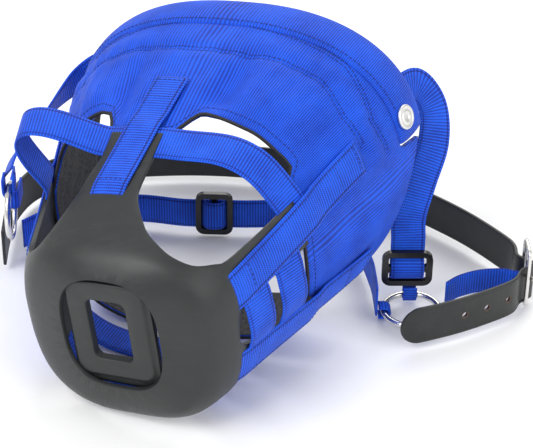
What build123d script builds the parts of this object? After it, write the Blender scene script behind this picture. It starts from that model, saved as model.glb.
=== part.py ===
"""Basket (grazing) muzzle for a horse, lying on its chin side with its headstall laid out beside it.

Units are millimetres. The floor is z = 0 and the nose side of the basket faces up.
Basket coordinates: x across to the right, s along the basket from the feed window to the nose
band, n towards the nose. `BASKET` places them on the floor.
"""
from build123d import *
import os
from math import atan2, cos, pi, radians, sin

# ---------------------------------------------------------------- placing
SHIFT = Vector(-17.882, 36.482, 1.387)               # brings the base's centre to the origin
WINDOW_AT = Vector(-84.75, -188.0, 77.0)      # centre of the feed window's face
HEADING, TILT, ROLL = radians(66.5), radians(1.0), radians(7.0)

axis = Vector(cos(HEADING) * cos(TILT), sin(HEADING) * cos(TILT), sin(TILT))
flat_right = Vector(sin(HEADING), -cos(HEADING), 0)
flat_up = flat_right.cross(axis)
right = flat_right * cos(ROLL) + flat_up * sin(ROLL)
up = flat_up * cos(ROLL) - flat_right * sin(ROLL)
BASKET = Plane(origin=WINDOW_AT, x_dir=right, z_dir=up)

# ---------------------------------------------------------------- sizes
WEB_W, WEB_T = 25.0, 1.6          # nylon webbing
LEATHER_W, LEATHER_T = 30.0, 2.4  # crown strap
DISH_T, SHELL_T = 3.2, 3.5        # rubber dish, padded nylon shell
BAND_OUT, BAND_IN = 1.5, -4.5     # nose band, about the basket's surface
WINDOW_W, WINDOW_H = 28.5, 46.0   # feed window
BOSS_W, BOSS_H = 57.0, 73.0       # raised frame about the feed window
RING_R, RING_WIRE = 20.5, 2.3     # headstall rings, to the wire's centre
LAP_IN, LAP_OUT = 3.4, 5.0        # layer of the long straps that run along the basket
ARM_END = 104.5                   # where the dish's arms meet the shell
SHELL_FROM, SHELL_TO = 105.0, 203.0
BAND_FROM, BAND_TO = 203.3, 235.0
STRAP_IN = BAND_IN - 4.2          # cheek strap's middle, inside the nose band
AROUND = 30                       # facets round the basket

# s, centre x, centre n, half width, reach to the nose, reach to the chin, roundness of each half
STATIONS = [
    (0, 2, 0, 32, 37, 40, 2.8, 3.0),
    (10, 1, 0, 60, 50, 68, 2.6, 2.9),
    (25, 0, 0, 72, 58, 77, 2.5, 2.9),
    (45, -1, 2, 78, 64, 77, 2.4, 3.0),
    (90, 0, 8, 92, 74, 81, 2.4, 3.1),
    (140, 2, 18, 109, 86, 90, 2.4, 3.1),
    (180, 4, 24, 122, 94, 95, 2.4, 2.9),
    (210, 6, 28, 128, 98, 98, 2.4, 2.7),
    (235, 8, 30, 129, 98, 100, 2.4, 2.6),
]


def station(s):
    """The basket's section at s, on a smooth run through the stations."""
    rows = STATIONS
    s0 = min(max(s, rows[0][0]), rows[-1][0])
    i = next(k for k in range(len(rows) - 1) if s0 <= rows[k + 1][0])
    gap = rows[i + 1][0] - rows[i][0]
    t = (s0 - rows[i][0]) / gap

    def slope(k, j):
        low, high = rows[max(k - 1, 0)], rows[min(k + 1, len(rows) - 1)]
        return (high[j] - low[j]) / (high[0] - low[0]) * gap

    h = (2 * t**3 - 3 * t**2 + 1, t**3 - 2 * t**2 + t, 3 * t**2 - 2 * t**3, t**3 - t**2)
    return [
        h[0] * rows[i][j] + h[1] * slope(i, j) + h[2] * rows[i + 1][j] + h[3] * slope(i + 1, j)
        for j in range(1, len(rows[0]))
    ]


def around(angle, s, off=0.0):
    """A point on the basket: 0 degrees at the nose, 90 at the right, 180 at the chin."""
    cx, cn, half, nose, chin, p_nose, p_chin = station(s)
    c, d = cos(radians(angle)), sin(radians(angle))
    k = 2 / (p_nose if c > 0 else p_chin)
    reach = (nose if c > 0 else chin) + off
    x = cx + (half + off) * (abs(d) ** k) * (1 if d > 0 else -1)
    n = cn + reach * (abs(c) ** k) * (1 if c > 0 else -1)
    return Vector(x, s, n)


def outward(angle, s):
    """The basket's outward normal at a point."""
    across = around(angle + 1, s) - around(angle - 1, s)
    along = around(angle, min(s + 2, 234.9)) - around(angle, s - 2)
    n = across.cross(along).normalized()
    middle = Vector(station(s)[0], s, station(s)[1])
    return n if n.dot(around(angle, s) - middle) > 0 else n * -1


def facet(*points):
    return Face(Wire.make_polygon(list(points), close=True))


def closed(faces):
    """A solid from facets, with its outside facing out."""
    body = Solid(Shell(faces))
    return body if body.volume > 0 else Solid(Shell([-f for f in faces]))


def between(ring, other):
    """Triangles between two closed rings of as many points each."""
    faces = []
    for k in range(len(ring)):
        j = (k + 1) % len(ring)
        faces.append(facet(ring[k], ring[j], other[j]))
        faces.append(facet(ring[k], other[j], other[k]))
    return faces


def tube(s_from, s_to, outer, inner):
    """A thick-walled length of the basket."""
    count = max(2, round((s_to - s_from) / 17))
    stops = [s_from + (s_to - s_from) * i / count for i in range(count + 1)]
    turns = [360 * k / AROUND + 4 for k in range(AROUND)]
    faces, ends = [], []
    for off in (outer, inner):
        rings = [[around(a, s, off) for a in turns] for s in stops]
        for ring, other in zip(rings, rings[1:]):
            faces += between(ring, other)
        ends.append((rings[0], rings[-1]))
    faces += between(ends[0][0], ends[1][0]) + between(ends[0][1], ends[1][1])
    return closed(faces)


def side_cut(middle, outline):
    """A prism through one side of the basket. Its outline is a list of (angle, s)."""
    m = radians(middle)
    radial = Vector(sin(m), 0, cos(m))
    tangent = Vector(cos(m), 0, -sin(m))
    plane = Plane(origin=(0, 0, 0), x_dir=tangent, z_dir=radial)
    # in this plane y runs along +s or -s, so the sign is taken from the plane
    sign = 1 if plane.y_dir.Y > 0 else -1
    pts = [(around(a, s).dot(tangent), sign * s) for a, s in outline]
    return plane * extrude(make_face(Polyline(*pts, close=True)), 190)


def strip_cut(start, end, width, beyond=0.0):
    """A box about a straight strip on the basket, from one (angle, s) to another."""
    a, b = around(*start), around(*end)
    along = (b - a).normalized()
    mid_angle, mid_s = (start[0] + end[0]) / 2, (start[1] + end[1]) / 2
    mid = around(mid_angle, mid_s)
    n = outward(mid_angle, mid_s)
    across = along.cross(n).normalized()
    plane = Plane(origin=mid, x_dir=across, z_dir=across.cross(along) * -1)
    return plane * Box(width, (b - a).length + 2 * beyond, 64)


def ribbon(points, sides, width, thick):
    """A flat strap through points, with its width along sides. Lists go together."""
    pts = [Vector(*p) for p in points]
    rings = []
    for i, p in enumerate(pts):
        before, after = pts[max(i - 1, 0)], pts[min(i + 1, len(pts) - 1)]
        along = (after - before).normalized()
        side = Vector(*sides[i])
        side = (side - along * side.dot(along)).normalized()
        half = along.cross(side) * (thick / 2)
        reach = side * (width / 2)
        rings.append([p - reach - half, p + reach - half, p + reach + half, p - reach + half])
    faces = [facet(*rings[0][:3]), facet(rings[0][0], rings[0][2], rings[0][3])]
    faces += [facet(*rings[-1][:3]), facet(rings[-1][0], rings[-1][2], rings[-1][3])]
    for ring, other in zip(rings, rings[1:]):
        faces += between(ring, other)
    return closed(faces)


def through(points, per):
    """A smooth run of points through the given ones, with per steps between each two."""
    rows = [points[0]] + list(points) + [points[-1]]
    out = []
    for i in range(1, len(rows) - 2):
        for k in range(per + (1 if i == len(rows) - 3 else 0)):
            t = k / per
            w = (-t + 2 * t**2 - t**3, 2 - 5 * t**2 + 3 * t**3, t + 4 * t**2 - 3 * t**3, t**3 - t**2)
            four = rows[i - 1:i + 3]
            out.append(tuple(sum(w[j] * four[j][c] for j in range(4)) / 2 for c in range(3)))
    return out


def upright(points, low, high, thick, per=3):
    """A strap that stands on its edge: its line in plan, made thick and raised from low to high."""
    line = [Vector(p[0], p[1]) for p in through([(x, y, 0) for x, y in points], per)]
    one, other = [], []
    for i, p in enumerate(line):
        along = (line[min(i + 1, len(line) - 1)] - line[max(i - 1, 0)]).normalized()
        aside = Vector(-along.Y, along.X) * (thick / 2)
        one.append(p + aside)
        other.append(p - aside)
    outline = make_face(Polyline(*one, *reversed(other), close=True))
    return Pos(0, 0, low) * extrude(outline, high - low)


def hoop(first, last, s_first, s_last, bulge, steps):
    """A band of webbing across the basket between two angles, slack by bulge in its middle."""
    pts, sides = [], []
    for i in range(steps + 1):
        t = i / steps
        angle = first + (last - first) * t
        s = s_first + (s_last - s_first) * t
        slack = bulge * sin(pi * min(max((t - 0.14) / 0.72, 0), 1)) ** 2
        n = outward(angle, s)
        p = around(angle, s) + n * (1.6 + slack)
        pts.append(tuple(p))
        sides.append(tuple(around(angle, min(s + 6, 230)) - around(angle, s - 6)))
    return ribbon(pts, sides, WEB_W, WEB_T)


def loop_path(wire, out, down, length, roomy):
    """A U of webbing about a ring's wire: out is its travel, down the side the ring lies to."""
    w, o, d = Vector(*wire), Vector(*out).normalized(), Vector(*down).normalized()
    r = RING_WIRE + 0.9 + WEB_T / 2
    pts = [w - o * r + d * -length]
    for k in range(7):
        a = pi * k / 6
        pts.append(w - o * (r * cos(a)) + d * ((r + roomy) * sin(a)))
    pts.append(w + o * r + d * -length)
    return [tuple(p) for p in pts]


basket_parts = {}

# ---------------------------------------------------------------- moulded dish and its arms
dish = tube(1.0, ARM_END, 0.0, -DISH_T)
boss = Pos(0, 6.0, 0) * Rot(90, 0, 0) * extrude(RectangleRounded(BOSS_W, BOSS_H, 9), 6.0)
window = Pos(0, 20, 0) * Rot(90, 0, 0) * extrude(RectangleRounded(WINDOW_W, WINDOW_H, 5), 40)
nostril_right = [(1.5, 130), (0.5, 86), (1.5, 70), (3, 54), (9, 39), (16, 28), (30, 21), (45, 23),
                 (55, 33), (61, 44), (63.5, 70), (65, 100), (66, 130)]
nostril_left = [(-17, 130), (-18, 86), (-21, 70), (-24, 54), (-29, 39), (-35, 28), (-46, 22),
                (-58, 26), (-65, 38), (-68, 50), (-70, 70), (-71, 100), (-72, 130)]
gap_right = [(87, 130), (87, 70), (87, 52), (88, 42), (91, 35), (95, 33), (98, 35), (101, 42),
             (103, 52), (105, 70), (108, 130)]
gap_left = [(-a - 4, s) for a, s in gap_right]
chin = [(125, 130), (124, 60), (124, 40), (127, 27), (134, 20), (146, 17), (158, 17), (170, 13),
        (180, 12), (190, 13), (202, 17), (214, 17), (226, 20), (230, 27), (232, 40), (232, 60),
        (231, 130)]
dish = dish + boss
for middle, outline in ((33, nostril_right), (-45, nostril_left), (97, gap_right),
                        (-101, gap_left), (180, chin)):
    dish = dish - side_cut(middle, outline)
dish = dish - window
basket_parts["base_dish"] = dish

# ---------------------------------------------------------------- padded shell and nose band
shell = tube(SHELL_FROM, 232, 0.0, -SHELL_T)
notch_right = [(3, 90), (3.5, 112), (8.8, 126), (28, 124), (48, 121), (54, 121), (60, 109), (61, 90)]
notch_left = [(-21, 90), (-21.5, 112), (-27, 126), (-46, 124), (-64, 121), (-70, 121), (-76, 109),
              (-77, 90)]
shell = shell - side_cut(31, notch_right) - side_cut(-48, notch_left)
behind = [(SHELL_TO, 150), (SHELL_TO, 36.6), (229, 36.6), (219, 20), (206, 0), (182, -40),
          (156, -76), (150, -90), (250, -90), (250, 150)]
rear = extrude(Plane.YZ * make_face(Polyline(*behind, close=True)), 200, both=True)
basket_parts["shell"] = shell - rear
band = tube(BAND_FROM, BAND_TO, BAND_OUT, BAND_IN)
band = band - Pos(0, 219, -100) * Box(400, 60, 274)
basket_parts["nose_band"] = band

# ---------------------------------------------------------------- long straps on the basket
lap = tube(24, 172, LAP_OUT, LAP_IN)
seat = tube(24, 172, LAP_IN + 0.2, 0.7)
straps = {
    "strap_nose": ((-8.5, 46), (-3.3, 149), 46, 118),
    "strap_cheek_right": ((78.4, 29), (74.2, 164), 29, 122),
    "strap_cheek_left": ((-83.0, 29), (-79.0, 164), 29, 122),
    "strap_jaw_right": ((111.5, 27), (117.0, 168), 27, 118),
    "strap_jaw_left": ((-117.5, 27), (-122.0, 168), 27, 118),
}
for name, (start, end, seat_from, seat_to) in straps.items():
    cut = strip_cut(start, end, WEB_W)
    turn = (end[0] - start[0]) / (end[1] - start[1])
    low = strip_cut(start, (start[0] + turn * 9, start[1] + 9), WEB_W)
    high = strip_cut((start[0] + turn * (seat_to - start[1]), seat_to), end, WEB_W)
    strap = (lap & cut) + (seat & low & cut) + (seat & high & cut)
    basket_parts[name] = strap

# ---------------------------------------------------------------- cross bands
basket_parts["upper_band_nose_right"] = hoop(-5.5, 73.5, 98, 103, 9, 10)
basket_parts["upper_band_nose_left"] = hoop(-6.8, -79, 98, 100, 40, 12)
basket_parts["upper_band_jaw"] = hoop(76, 281, 84, 84, 0, 24)
basket_parts["lower_band"] = hoop(70, 285, 53, 53, 0, 24)

# ---------------------------------------------------------------- rivets through the nose band
rivet_seats = {"right": (76.0, 213.0), "left": (-80.0, 213.0)}
for side, (angle, s) in rivet_seats.items():
    n = outward(angle, s)
    seat_at = around(angle, s)
    plane = Plane(origin=seat_at, z_dir=n)
    cap = plane * Pos(0, 0, BAND_OUT + 1.5) * Cylinder(8.8, 2.2)
    stem = plane * Pos(0, 0, -4.45) * Cylinder(2.0, 13.9)
    washer = plane * Pos(0, 0, STRAP_IN - 2.3) * Cylinder(7.0, 1.6)
    bore = plane * Pos(0, 0, -3.6) * Cylinder(2.3, 24)
    basket_parts["nose_band"] = basket_parts["nose_band"] - bore
    basket_parts["shell"] = basket_parts["shell"] - bore
    basket_parts["rivet_" + side] = cap + stem + washer


def place(part):
    return BASKET.location * part


def to_floor(p):
    return BASKET.from_local_coords(p)


parts = {name: place(body) for name, body in basket_parts.items()}


# ---------------------------------------------------------------- cheek straps
def carried(points, first, last):
    """Widths for a strap: first carried along the line, then twisted gently to lie along last."""
    pts = [Vector(*p) for p in points]
    ends = len(pts) - 1
    runs = [(pts[min(i + 1, ends)] - pts[max(i - 1, 0)]).normalized() for i in range(ends + 1)]
    side, sides = first, []
    for run in runs:
        side = (side - run * side.dot(run)).normalized()
        sides.append(side)
    goal = (last - runs[-1] * last.dot(runs[-1])).normalized()
    if goal.dot(side) < 0:
        goal = goal * -1
    twist = atan2(side.cross(goal).dot(runs[-1]), side.dot(goal))
    out = []
    for i, (side, run) in enumerate(zip(sides, runs)):
        t = min(max((i / ends - 0.35) / 0.4, 0), 1)
        w = twist * t * t * (3 - 2 * t)
        out.append(side * cos(w) + run.cross(side) * sin(w))
    return out


def cheek_strap(side, after, last):
    """From inside the nose band at the rivet, over its rear edge and on through the points."""
    angle, s = rivet_seats[side]
    n = outward(angle, s)
    turn = -4 if side == "right" else 4
    lead = [around(angle, s - 13) + n * STRAP_IN, around(angle, s) + n * STRAP_IN,
            around(angle + turn, 236) + n * STRAP_IN]
    line = through([tuple(to_floor(p)) for p in lead] + after, 4)
    across = (to_floor(around(angle - 8, s)) - to_floor(around(angle + 8, s))).normalized()
    strap = ribbon(line, carried(line, across, last), WEB_W, WEB_T)
    bore = Plane(origin=around(angle, s), z_dir=n) * Pos(0, 0, -3.6) * Cylinder(2.3, 24)
    return strap - place(bore)


right_route = [(127, -4, 158), (138, -7, 142), (138, -21, 121), (129, -33, 97), (122, -39, 72),
               (122, -41.0, 52), (122, -41.4, 34), (122, -41.4, 16)]
left_route = [(-104, 91, 124), (-128, 82, 113), (-152, 50, 98), (-167, 21, 88), (-172, 8, 79)]
parts["cheek_strap_right"] = cheek_strap("right", right_route, Vector(-1, 0, 0))
parts["cheek_strap_left"] = cheek_strap("left", left_route, Vector(0, 1, 0))

# ---------------------------------------------------------------- rings and the webbing on them
ring_right_at = Vector(125, -64.5, 6.0)
ring_left_at = Vector(-172, 8, 46)
parts["ring_right"] = Pos(*ring_right_at) * Torus(RING_R, RING_WIRE)
parts["ring_left"] = Pos(*ring_left_at) * Rot(0, 90, 0) * Torus(RING_R, RING_WIRE)

far_wire = ring_right_at + Vector(0, RING_R, 0)
u = loop_path(tuple(far_wire), (0, -1, 0), (0, 0, -1), 7.5, 0.4)
parts["ring_loop_right"] = ribbon(u, [(1, 0, 0)] * len(u), 10, WEB_T)
left_wire = ring_right_at + Vector(-RING_R, 0, 0)
u = loop_path(tuple(left_wire), (0, 0, 1), (1, 0, 0), 4, 0.4)
parts["ring_loop_throat"] = ribbon(u, [(0, 1, 0)] * len(u), 10, WEB_T)
top_wire = ring_left_at + Vector(0, 0, RING_R)
u = loop_path(tuple(top_wire), (1, 0, 0), (0, 0, -1), 9, 2.2)
parts["ring_loop_left"] = ribbon(u, [(0, 1, 0)] * len(u), 14, WEB_T)

# ---------------------------------------------------------------- slides
SLIDE_W, SLIDE_L, SLIDE_T = 37.0, 29.0, 4.0
slide_profile = RectangleRounded(SLIDE_W, SLIDE_L, 7)
slot = RectangleRounded(27.5, 8.2, 2)
slide_flat = extrude(slide_profile - Pos(0, 6.1) * slot - Pos(0, -6.1) * slot, SLIDE_T / 2, both=True)


def bight():
    """Webbing folded over a slide's middle bar, in the slide's own axes, front at +z."""
    path = [(0, 9.0, -1.4), (0, 8.0, 0.2), (0, 6.2, 3.0), (0, 3.2, 4.4), (0, 0, 4.8),
            (0, -3.2, 4.4), (0, -6.2, 3.0), (0, -8.0, 0.2), (0, -9.0, -1.4)]
    return ribbon(path, [(1, 0, 0)] * len(path), WEB_W - 1, WEB_T)


slide_right_at = Plane(origin=(122, -44.9, 29.5), x_dir=(1, 0, 0), z_dir=(0, -1, 0))
parts["slide_right"] = slide_right_at.location * slide_flat
parts["slide_bight_right"] = slide_right_at.location * bight()
throat_run = Vector(-1, 0.05, 0).normalized()
slide_throat_at = Plane(origin=(-20, 46, 19.2), x_dir=(0, 0, 1), z_dir=throat_run.cross(Vector(0, 0, 1)) * -1)
parts["slide_throat"] = slide_throat_at.location * slide_flat
parts["slide_bight_throat"] = slide_throat_at.location * bight()

# ---------------------------------------------------------------- throat strap
throat_pts = [(98.8, -70), (98.4, -52), (97, -32), (90, 2), (72, 34), (46, 48), (4, 48.2),
              (-20, 49.4), (-44, 50.6), (-80, 57), (-118, 52), (-150, 34), (-166, 20)]
parts["throat_strap"] = upright(throat_pts, 4.5, 29.5, WEB_T)

# ---------------------------------------------------------------- crown strap, chape and buckle
BAR_R = 1.6
BUCKLE_AT = Vector(209, -44, 25.4)
BAR_GAP = 10.6
half_h = 23.0
depth = 2 * (BAR_GAP + BAR_R)
opening = BAR_GAP - 2 * BAR_R
frame = Box(2 * BAR_R, depth, 2 * (half_h + BAR_R))
for y in (BAR_GAP / 2, -BAR_GAP / 2):
    frame = frame - Pos(0, y, 0) * Box(8, opening, 2 * half_h - 2 * BAR_R)
parts["buckle_frame"] = Pos(*BUCKLE_AT) * frame

tongue_eye = Cylinder(3.7, 4.0) - Cylinder(2.45, 6.0)
tongue_eye = tongue_eye - Pos(4.0, 0, 0) * Box(6.0, 10, 6) - Pos(2.0, 4, 0) * Box(6.0, 8, 6)
tip = Vector(5.0, -BAR_GAP - 2.0, 0)
root_point = Vector(0.6, -3.1, 0)
shaft_dir = (tip - root_point).normalized()
shaft = Plane(origin=(tip + root_point) * 0.5, z_dir=shaft_dir) * Cylinder(
    1.3, (tip - root_point).length
)
parts["buckle_tongue"] = Pos(*BUCKLE_AT) * (tongue_eye + shaft + Pos(*tip) * Sphere(1.3))

wave = BAR_R + LEATHER_T / 2 + 2.5
bx, by, bz = tuple(BUCKLE_AT)
crown_line = [(-178, -4), (-178.5, 26), (-176, 60), (-160, 94), (-120, 118), (-66, 127), (-8, 126),
              (52, 113), (100, 90), (140, 58), (172, 26), (196, -6), (203.2, -20),
              (bx - wave, by + BAR_GAP), (bx, by + BAR_GAP / 2), (bx + wave, by),
              (bx, by - BAR_GAP / 2), (bx - wave, by - BAR_GAP), (198, -65), (184, -75), (158, -89),
              (134, -99), (113, -106)]
CROWN_LOW = 4.2
crown = upright(crown_line, CROWN_LOW, CROWN_LOW + LEATHER_W, LEATHER_T)
crown_mid = CROWN_LOW + LEATHER_W / 2
HOLE_R, HOLE_PITCH, FIRST_HOLE = 2.3, 19.0, 50.0
tail = [Vector(x, y) for x, y in crown_line[-5:]]
spans = [(b - a).length for a, b in zip(tail, tail[1:])]
for k in range(3):
    left = FIRST_HOLE + HOLE_PITCH * k
    i = len(spans) - 1
    while left > spans[i]:
        left -= spans[i]
        i -= 1
    along = (tail[i] - tail[i + 1]).normalized()
    at = tail[i + 1] + along * left
    through_it = Plane(origin=(at.X, at.Y, crown_mid), z_dir=(-along.Y, along.X, 0))
    crown = crown - through_it * Cylinder(HOLE_R, 12)
crown = crown - Pos(bx + 3, by - 4.2, bz) * Box(9, 9.5, 5.2)
end_along = (tail[-1] - tail[-2]).normalized()
tip_plane = Plane(
    origin=(tail[-1].X - end_along.X * 15, tail[-1].Y - end_along.Y * 15, crown_mid),
    x_dir=(end_along.X, end_along.Y, 0), z_dir=(-end_along.Y, end_along.X, 0),
)
corner = tip_plane * (Pos(8, 0, 0) * Box(18, 34, 12) - Cylinder(15, 20))
parts["crown_strap"] = crown - corner

chape_line = [(149.8, -58), (160, -49), (176, -42), (192, -40.5), (200, -43), (204.8, -44)]
parts["chape"] = upright(chape_line, CROWN_LOW + 2, CROWN_LOW + 22, WEB_T)

crown_wire = ring_left_at + Vector(0, RING_R, 0)
parts["crown_loop"] = ribbon(
    [(-175.6, 64, 44), (-175.6, 50, 44), (-175.9, 30, 45), (-175.2, 24.0, 46), (-172, 22.0, 46),
     (-168.8, 24.0, 46), (-168.1, 30, 46), (-168.1, 44, 46)],
    [(0, 0, 1)] * 8, 15.0, 1.8)

os.makedirs("parts", exist_ok=True)
for name, body in parts.items():
    moved = Pos(*SHIFT) * body
    export_step(moved, "parts/" + name + ".step")
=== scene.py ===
"""Looks of the basket muzzle: rubber dish, padded nylon shell, webbing, leather and nickel.

The basket's own coordinates are in millimetres: x across to the right, s along it from the feed
window to the nose band, n towards the nose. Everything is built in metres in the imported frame.
"""
import bpy
from math import atan2, cos, exp, pi, radians, sin
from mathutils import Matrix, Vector
from mathutils.geometry import delaunay_2d_cdt


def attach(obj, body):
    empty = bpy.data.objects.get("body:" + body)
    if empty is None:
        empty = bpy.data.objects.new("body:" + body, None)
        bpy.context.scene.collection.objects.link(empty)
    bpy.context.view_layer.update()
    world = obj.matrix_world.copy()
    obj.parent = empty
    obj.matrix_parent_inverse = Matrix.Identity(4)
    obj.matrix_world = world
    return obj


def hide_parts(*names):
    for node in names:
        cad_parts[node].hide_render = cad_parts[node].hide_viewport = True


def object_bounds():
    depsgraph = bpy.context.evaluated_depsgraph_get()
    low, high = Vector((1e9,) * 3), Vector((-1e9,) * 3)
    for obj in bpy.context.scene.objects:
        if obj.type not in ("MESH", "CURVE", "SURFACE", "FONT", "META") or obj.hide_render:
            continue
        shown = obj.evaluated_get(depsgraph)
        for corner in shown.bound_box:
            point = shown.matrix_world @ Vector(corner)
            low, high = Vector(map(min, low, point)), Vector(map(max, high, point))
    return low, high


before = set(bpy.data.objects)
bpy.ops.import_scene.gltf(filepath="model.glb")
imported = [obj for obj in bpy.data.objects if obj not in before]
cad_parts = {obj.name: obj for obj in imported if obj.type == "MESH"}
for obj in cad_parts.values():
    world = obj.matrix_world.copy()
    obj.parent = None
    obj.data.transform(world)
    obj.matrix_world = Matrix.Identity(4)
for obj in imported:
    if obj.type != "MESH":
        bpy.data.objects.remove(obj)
cad_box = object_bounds()
MM = 0.001

# ---------------------------------------------------------------- placing, as in the part
SHIFT = Vector((-17.882, 36.482, 1.387))
WINDOW_AT = Vector((-84.75, -188.0, 77.0))
HEADING, TILT, ROLL = radians(66.5), radians(1.0), radians(7.0)
AXIS = Vector((cos(HEADING) * cos(TILT), sin(HEADING) * cos(TILT), sin(TILT)))
FLAT_RIGHT = Vector((sin(HEADING), -cos(HEADING), 0))
FLAT_UP = FLAT_RIGHT.cross(AXIS)
RIGHT = FLAT_RIGHT * cos(ROLL) + FLAT_UP * sin(ROLL)
UP = FLAT_UP * cos(ROLL) - FLAT_RIGHT * sin(ROLL)

WEB_W, WEB_T = 25.0, 1.6
LEATHER_W, LEATHER_T = 30.0, 2.4
DISH_T, CLOTH_T = 3.2, 3.2
BAND_OUT, BAND_IN = 1.5, -4.5
ARM_END = 104.5
SHELL_FROM, SHELL_TO = 105.0, 203.0
BAND_FROM, BAND_TO = 203.3, 235.0
STRAP_IN = BAND_IN - 4.2
RING_R, RING_WIRE = 20.5, 2.3
RIVETS = {"right": (76.0, 213.0), "left": (-80.0, 213.0)}

# s, centre x, centre n, half width, reach to the nose, reach to the chin, roundness of each half
STATIONS = [
    (0, 2, 0, 32, 37, 40, 2.8, 3.0),
    (10, 1, 0, 60, 50, 68, 2.6, 2.9),
    (25, 0, 0, 72, 58, 77, 2.5, 2.9),
    (45, -1, 2, 78, 64, 77, 2.4, 3.0),
    (90, 0, 8, 92, 74, 81, 2.4, 3.1),
    (140, 2, 18, 109, 86, 90, 2.4, 3.1),
    (180, 4, 24, 122, 94, 95, 2.4, 2.9),
    (210, 6, 28, 128, 98, 98, 2.4, 2.7),
    (235, 8, 30, 129, 98, 100, 2.4, 2.6),
]
LAST_S = 235


def station(s):
    """The basket's section at s, on a smooth run through the stations."""
    rows = STATIONS
    s0 = min(max(s, rows[0][0]), rows[-1][0])
    i = next(k for k in range(len(rows) - 1) if s0 <= rows[k + 1][0])
    gap = rows[i + 1][0] - rows[i][0]
    t = (s0 - rows[i][0]) / gap

    def slope(k, j):
        low, high = rows[max(k - 1, 0)], rows[min(k + 1, len(rows) - 1)]
        return (high[j] - low[j]) / (high[0] - low[0]) * gap

    h = (2 * t**3 - 3 * t**2 + 1, t**3 - 2 * t**2 + t, 3 * t**2 - 2 * t**3, t**3 - t**2)
    return [
        h[0] * rows[i][j] + h[1] * slope(i, j) + h[2] * rows[i + 1][j] + h[3] * slope(i + 1, j)
        for j in range(1, len(rows[0]))
    ]


def around(angle, s, off=0.0):
    """A point on the basket: 0 degrees at the nose, 90 at the right, 180 at the chin."""
    cx, cn, half, nose, chin, p_nose, p_chin = station(s)
    c, d = cos(radians(angle)), sin(radians(angle))
    k = 2 / (p_nose if c > 0 else p_chin)
    reach = (nose if c > 0 else chin) + off
    x = cx + (half + off) * (abs(d) ** k) * (1 if d > 0 else -1)
    n = cn + reach * (abs(c) ** k) * (1 if c > 0 else -1)
    return Vector((x, s, n))


def outward(angle, s):
    """The basket's outward normal at a point, in its own coordinates."""
    across = around(angle + 1, s) - around(angle - 1, s)
    along = around(angle, min(s + 2, LAST_S - 0.1)) - around(angle, max(s - 2, 0.1))
    n = across.cross(along).normalized()
    middle = Vector((station(s)[0], s, station(s)[1]))
    return n if n.dot(around(angle, s) - middle) > 0 else n * -1


def to_room(p):
    """Basket coordinates in millimetres to the frame in metres."""
    return (WINDOW_AT + RIGHT * p[0] + AXIS * p[1] + UP * p[2] + SHIFT) * MM


def room_direction(v):
    """A direction in the basket's coordinates, turned into the frame's."""
    return RIGHT * v.x + AXIS * v.y + UP * v.z


def room_normal(angle, s):
    """The basket's outward normal at a point, in the frame."""
    return room_direction(outward(angle, s)).normalized()


def floor_mm(p):
    """Headstall coordinates in millimetres to the frame in metres."""
    return (Vector(p) + SHIFT) * MM


# ---------------------------------------------------------------- materials
class Nodes:
    """A small helper that builds a material's node tree."""

    def __init__(self, name, color, roughness, metallic=0.0, **sockets):
        self.material = bpy.data.materials.new(name)
        self.material.use_nodes = True
        self.tree = self.material.node_tree
        self.shader = self.tree.nodes["Principled BSDF"]
        self.shader.inputs["Base Color"].default_value = (*color, 1)
        self.shader.inputs["Roughness"].default_value = roughness
        self.shader.inputs["Metallic"].default_value = metallic
        for key, value in sockets.items():
            self.shader.inputs[key.replace("_", " ")].default_value = value

    def add(self, kind, **values):
        node = self.tree.nodes.new(kind)
        for key, value in values.items():
            setattr(node, key, value)
        return node

    def link(self, a, b):
        self.tree.links.new(a, b)

    def uv(self):
        return self.add("ShaderNodeUVMap", uv_map="cloth").outputs["UV"]

    def place(self):
        return self.add("ShaderNodeTexCoord").outputs["Object"]

    def math(self, operation, a, b=None):
        node = self.add("ShaderNodeMath", operation=operation)
        for socket, value in zip(node.inputs, (a, b)):
            if value is None:
                continue
            if isinstance(value, (int, float)):
                socket.default_value = value
            else:
                self.link(value, socket)
        return node.outputs[0]

    def noise(self, scale, detail=3.0, roughness=0.55, vector=None):
        node = self.add("ShaderNodeTexNoise")
        node.inputs["Scale"].default_value = scale
        node.inputs["Detail"].default_value = detail
        node.inputs["Roughness"].default_value = roughness
        self.link(vector if vector is not None else self.place(), node.inputs["Vector"])
        return node.outputs["Fac"]

    def ramp(self, value, stops):
        node = self.add("ShaderNodeValToRGB")
        while len(node.color_ramp.elements) < len(stops):
            node.color_ramp.elements.new(0.5)
        for element, (at, color) in zip(node.color_ramp.elements, stops):
            element.position = at
            element.color = (*color, 1)
        self.link(value, node.inputs["Fac"])
        return node.outputs["Color"]

    def span(self, value, low, high):
        node = self.add("ShaderNodeMapRange")
        node.inputs["To Min"].default_value = low
        node.inputs["To Max"].default_value = high
        self.link(value, node.inputs["Value"])
        return node.outputs["Result"]

    def bump(self, height, strength, distance):
        node = self.add("ShaderNodeBump")
        node.inputs["Strength"].default_value = strength
        node.inputs["Distance"].default_value = distance
        self.link(height, node.inputs["Height"])
        self.link(node.outputs["Normal"], self.shader.inputs["Normal"])

    def put(self, output, socket):
        self.link(output, self.shader.inputs[socket])


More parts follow.
